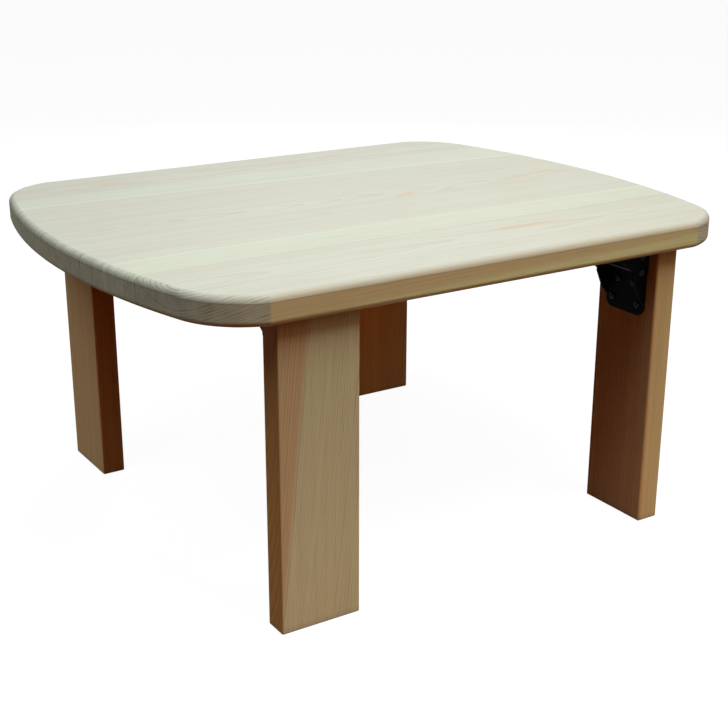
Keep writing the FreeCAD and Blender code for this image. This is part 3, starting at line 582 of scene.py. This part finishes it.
def leg_wood(name, looks):
    """Plank leg: upright tan grain with sapwood, painted light that makes it paler lower down, a
    painted shadow under the top, painted shade on some narrow edges, worn at the foot.
    """
    timber = Timber(f"{name}_wood", PLANKS[name])
    tree = timber.tree
    young = tree.blend(timber.heart, looks.leg_sap, looks.leg)
    late = tree.blend(timber.heart, looks.leg_sap_late, looks.leg_late)
    tint = tree.blend(timber.late, young, late)
    tint = tree.tinted(tint, tree.blend(timber.end, WHITE, looks.leg_end_tone))
    # For the front left and back left legs, the low-edge tint is painted shade.
    axis, low_edge_tint_and_shade, high_edge = timber.plank["edges"]
    facing = timber.facing[axis]
    edges = tree.blend(tree.step(facing, *LOW_EDGE_TURN), low_edge_tint_and_shade, WHITE)
    edges = tree.blend(tree.step(facing, *HIGH_EDGE_TURN), edges, high_edge)
    tint = tree.tinted(tint, edges)
    # Painted light and shade up the leg: paler towards the foot, darker towards the top, and a
    # painted shadow under the top; the foot darkens with wear.
    painted_shade_and_wear = tree.step(timber.along, *LEG_PAINTED_LIGHT)
    for ramp in (FOOT_WEAR, LEG_TOP_PAINTED_SHADOW):
        painted_shade_and_wear = tree.sum("MULTIPLY", painted_shade_and_wear, tree.step(timber.along, *ramp))
    tone = tree.vector("MULTIPLY", tree.grey(painted_shade_and_wear), timber.plank["tone"])
    return timber.finish(tree.tinted(tint, tone), looks.roughness, LEG_SHINE)


def edge_share(tree, reach):
    """1 along sharp edges of a steel piece, 0 on its flats."""
    soft = tree.nodes.new("ShaderNodeBevel")
    soft.samples = 4
    soft.inputs["Radius"].default_value = reach
    plain = tree.nodes.new("ShaderNodeNewGeometry")
    likeness = tree.vector("DOT_PRODUCT", soft.outputs[0], plain.outputs["Normal"])
    return tree.step(likeness, *WORN_EDGE_TURN)


def bracket_coat(looks):
    """Baked black coat with a fine peel, rubbed thin along the edges of the sheet."""
    tree = Tree("black_bracket_coat")
    spot, _ = tree.place()
    peel = tree.cloud(spot, scale=1.6)
    patches = tree.cloud(spot, scale=0.16, detail=4.0, roughness=0.6)
    worn = tree.sum("MULTIPLY", edge_share(tree, WORN_EDGE), tree.step(patches, *WORN_PATCHES))
    tint = tree.blend(worn, looks.coat, looks.bare)
    gloss = tree.sum("MULTIPLY_ADD", patches, BRACKET_ROUGHER, BRACKET_ROUGHNESS)
    tree.surface(tint, gloss, {"Specular IOR Level": BRACKET_SHINE})
    tree.bump(peel, *BRACKET_RELIEF)
    return tree.material


def blackened_steel(name, tint, roughness):
    """Blackened rivets and screws: dark metal with a faint brushed stain."""
    tree = Tree(name)
    spot, _ = tree.place()
    stain = tree.cloud(spot, scale=0.55, detail=4.0, roughness=0.6)
    pale = tuple(min(1.0, channel * STAIN_PALER) for channel in tint)
    tint = tree.blend(tree.step(stain, *STAIN_EDGE), tint, pale)
    gloss = tree.sum("MULTIPLY_ADD", stain, STAIN_ROUGHER, roughness)
    tree.surface(
        tint, gloss, {"Metallic": FASTENER_METAL, "Specular IOR Level": BRACKET_SHINE}
    )
    tree.bump(tree.cloud(spot, scale=3.0), *FASTENER_RELIEF)
    return tree.material


def spring_wire(looks):
    """Bright drawn wire."""
    tree = Tree("bright_spring_wire")
    spot, _ = tree.place()
    drawn = tree.cloud(spot, scale=2.2, detail=3.0)
    dark = tuple(channel * WIRE_DARKER for channel in looks.spring)
    tint = tree.blend(drawn, dark, looks.spring)
    gloss = tree.sum("MULTIPLY_ADD", drawn, WIRE_ROUGHER, WIRE_ROUGHNESS)
    tree.surface(tint, gloss, {"Metallic": 1.0})
    tree.bump(drawn, *WIRE_RELIEF)
    return tree.material


def dress(node, material):
    """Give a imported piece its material."""
    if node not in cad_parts:
        raise RuntimeError(f"the packed table has no piece named {node}")
    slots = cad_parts[node].data.materials
    slots.clear()
    slots.append(material)


def dress_corners(pieces, material):
    """Give like pieces at all four corners the same material."""
    for corner in CORNERS:
        for piece in pieces:
            dress(f"{corner}_{piece}", material)


class TABLE_OT_boards(bpy.types.Operator):
    """Give each board of the top its own grain"""

    bl_idname = "table.boards"
    bl_label = "Boards"

    def execute(self, context):
        for name in BOARDS:
            dress(name, board_wood(name, context.scene.table_wood))
        return {"FINISHED"}


class TABLE_OT_legs(bpy.types.Operator):
    """Give each plank leg its own grain"""

    bl_idname = "table.legs"
    bl_label = "Legs"

    def execute(self, context):
        for corner in CORNERS:
            name = f"{corner}_leg"
            dress(name, leg_wood(name, context.scene.table_wood))
        return {"FINISHED"}


class TABLE_OT_brackets(bpy.types.Operator):
    """Coat the base plates, leg plates and lock levers"""

    bl_idname = "table.brackets"
    bl_label = "Brackets"

    def execute(self, context):
        coat = bracket_coat(context.scene.table_steel)
        dress_corners(("base_plate", "leg_plate", "lock_lever"), coat)
        return {"FINISHED"}


class TABLE_OT_rivets(bpy.types.Operator):
    """Blacken the pivot pins and lever pins"""

    bl_idname = "table.rivets"
    bl_label = "Rivets"

    def execute(self, context):
        looks = context.scene.table_steel
        steel = blackened_steel("blackened_rivet", looks.rivet, RIVET_ROUGHNESS)
        dress_corners(("pivot_pin", "lever_pin"), steel)
        return {"FINISHED"}


class TABLE_OT_screws(bpy.types.Operator):
    """Blacken the wood screws"""

    bl_idname = "table.screws"
    bl_label = "Wood screws"

    def execute(self, context):
        looks = context.scene.table_steel
        steel = blackened_steel("blackened_screw", looks.screw, SCREW_ROUGHNESS)
        dress_corners(("base_screws", "leg_screws"), steel)
        return {"FINISHED"}


class TABLE_OT_springs(bpy.types.Operator):
    """Give the lever springs their bright wire"""

    bl_idname = "table.springs"
    bl_label = "Lever springs"

    def execute(self, context):
        dress_corners(("lever_spring",), spring_wire(context.scene.table_steel))
        return {"FINISHED"}


def add_lamp(name, power):
    """Square soft light, turned towards the table."""
    spot, width, tint = LAMPS[name]
    light = bpy.data.lights.new(name, "AREA")
    light.shape = "SQUARE"
    light.size = width
    light.energy = power
    light.color = tint
    box = bpy.data.objects.new(name, light)
    box.location = spot
    box.rotation_euler = (Vector(LAMP_AIM) - Vector(spot)).to_track_quat("-Z", "Y").to_euler()
    bpy.context.scene.collection.objects.link(box)


def seen_directly(nodes, links):
    """1 for rays that show the background: from the camera, off gloss or through glass."""
    path = nodes.new("ShaderNodeLightPath")
    total = path.outputs["Is Camera Ray"]
    for kind in ("Is Glossy Ray", "Is Transmission Ray"):
        more = nodes.new("ShaderNodeMath")
        more.operation = "MAXIMUM"
        links.new(total, more.inputs[0])
        links.new(path.outputs[kind], more.inputs[1])
        total = more.outputs[0]
    return total


def choose_by_ray(tree, unseen, seen, output):
    """Show one shader to the rays that see the background, and the other to the rest."""
    choose = tree.nodes.new("ShaderNodeMixShader")
    tree.links.new(seen_directly(tree.nodes, tree.links), choose.inputs[0])
    tree.links.new(unseen.outputs[0], choose.inputs[1])
    tree.links.new(seen.outputs[0], choose.inputs[2])
    tree.links.new(choose.outputs[0], output.inputs["Surface"])


def floor_finish(looks):
    """Pale to the camera, with the table's shadow; to the table, a dim warm floor."""
    material = bpy.data.materials.new("pale_floor")
    material.use_nodes = True
    tree = material.node_tree
    tree.nodes.clear()
    output = tree.nodes.new("ShaderNodeOutputMaterial")
    shading = tree.nodes.new("ShaderNodeBsdfDiffuse")
    shading.inputs["Color"].default_value = (*FLOOR_SHADING, 1.0)
    glow = tree.nodes.new("ShaderNodeEmission")
    glow.inputs["Color"].default_value = (*looks.floor, 1.0)
    pale = tree.nodes.new("ShaderNodeAddShader")
    tree.links.new(shading.outputs[0], pale.inputs[0])
    tree.links.new(glow.outputs[0], pale.inputs[1])
    bounce = tree.nodes.new("ShaderNodeBsdfDiffuse")
    bounce.inputs["Color"].default_value = (*looks.bounce, 1.0)
    choose_by_ray(tree, bounce, pale, output)
    return material


def add_floor(looks):
    """Wide plain floor under the feet."""
    reach = FLOOR_REACH
    mesh = bpy.data.meshes.new("floor")
    corners = [(-reach, -reach, 0), (reach, -reach, 0), (reach, reach, 0), (-reach, reach, 0)]
    mesh.from_pydata(corners, [], [(0, 1, 2, 3)])
    floor = bpy.data.objects.new("floor", mesh)
    bpy.context.scene.collection.objects.link(floor)
    mesh.materials.append(floor_finish(looks))


def set_sky(looks):
    """White to the camera; to the table, a soft sky that fades towards the floor."""
    world = bpy.data.worlds.new("studio")
    bpy.context.scene.world = world
    world.use_nodes = True
    tree = world.node_tree
    tree.nodes.clear()
    output = tree.nodes.new("ShaderNodeOutputWorld")
    direction = tree.nodes.new("ShaderNodeTexCoord")
    height = tree.nodes.new("ShaderNodeSeparateXYZ")
    tree.links.new(direction.outputs["Generated"], height.inputs[0])
    fade = tree.nodes.new("ShaderNodeMapRange")
    fade.interpolation_type = "SMOOTHERSTEP"
    fade.inputs["From Min"].default_value = SKY_FADE[0]
    fade.inputs["From Max"].default_value = SKY_FADE[1]
    fade.inputs["To Min"].default_value = SKY_AT_FLOOR * looks.sky
    fade.inputs["To Max"].default_value = looks.sky
    tree.links.new(height.outputs["Z"], fade.inputs["Value"])
    soft = tree.nodes.new("ShaderNodeBackground")
    soft.inputs["Color"].default_value = (*WHITE, 1.0)
    tree.links.new(fade.outputs[0], soft.inputs["Strength"])
    white = tree.nodes.new("ShaderNodeBackground")
    white.inputs["Color"].default_value = (*WHITE, 1.0)
    choose_by_ray(tree, soft, white, output)


def add_camera(looks):
    """Camera before the table's left front corner, looking a little down on the top."""
    lens = bpy.data.cameras.new("camera")
    lens.lens = looks.lens
    lens.sensor_width = SENSOR_WIDTH
    lens.clip_end = CAMERA_REACH
    camera = bpy.data.objects.new("camera", lens)
    camera.location = looks.camera_spot
    camera.rotation_euler = Euler(looks.camera_turn)
    bpy.context.scene.collection.objects.link(camera)
    bpy.context.scene.camera = camera


class TABLE_OT_stage(bpy.types.Operator):
    """Set the floor, the light and the camera"""

    bl_idname = "table.stage"
    bl_label = "Stage"

    def execute(self, context):
        looks = context.scene.table_stage
        context.scene.view_settings.view_transform = "Standard"
        add_floor(looks)
        set_sky(looks)
        for name in LAMPS:
            add_lamp(name, getattr(looks, name))
        add_camera(looks)
        return {"FINISHED"}


class TABLE_PT_looks(bpy.types.Panel):
    """Lists the pieces of the table"""

    bl_idname = "TABLE_PT_looks"
    bl_label = "Folding table"
    bl_space_type = "VIEW_3D"
    bl_region_type = "UI"
    bl_category = "Table"

    def draw(self, context):
        for group in GROUPS:
            box = self.layout.box()
            looks = getattr(context.scene, group)
            for name in looks.__annotations__:
                box.prop(looks, name)
        for operator in OPERATORS:
            self.layout.operator(operator.bl_idname)


GROUPS = {
    "table_wood": TABLE_PG_wood,
    "table_steel": TABLE_PG_steel,
    "table_stage": TABLE_PG_stage,
}
OPERATORS = (
    TABLE_OT_boards,
    TABLE_OT_legs,
    TABLE_OT_brackets,
    TABLE_OT_rivets,
    TABLE_OT_screws,
    TABLE_OT_springs,
    TABLE_OT_stage,
)


def register():
    for name, group in GROUPS.items():
        bpy.utils.register_class(group)
        setattr(bpy.types.Scene, name, PointerProperty(type=group))
    for operator in OPERATORS:
        bpy.utils.register_class(operator)
    bpy.utils.register_class(TABLE_PT_looks)


def unregister():
    bpy.utils.unregister_class(TABLE_PT_looks)
    for operator in reversed(OPERATORS):
        bpy.utils.unregister_class(operator)
    for name, group in GROUPS.items():
        delattr(bpy.types.Scene, name)
        bpy.utils.unregister_class(group)


def main():
    register()
    bpy.ops.table.boards()
    bpy.ops.table.legs()
    bpy.ops.table.brackets()
    bpy.ops.table.rivets()
    bpy.ops.table.screws()
    bpy.ops.table.springs()
    bpy.ops.table.stage()


if __name__ == "__main__":
    main()
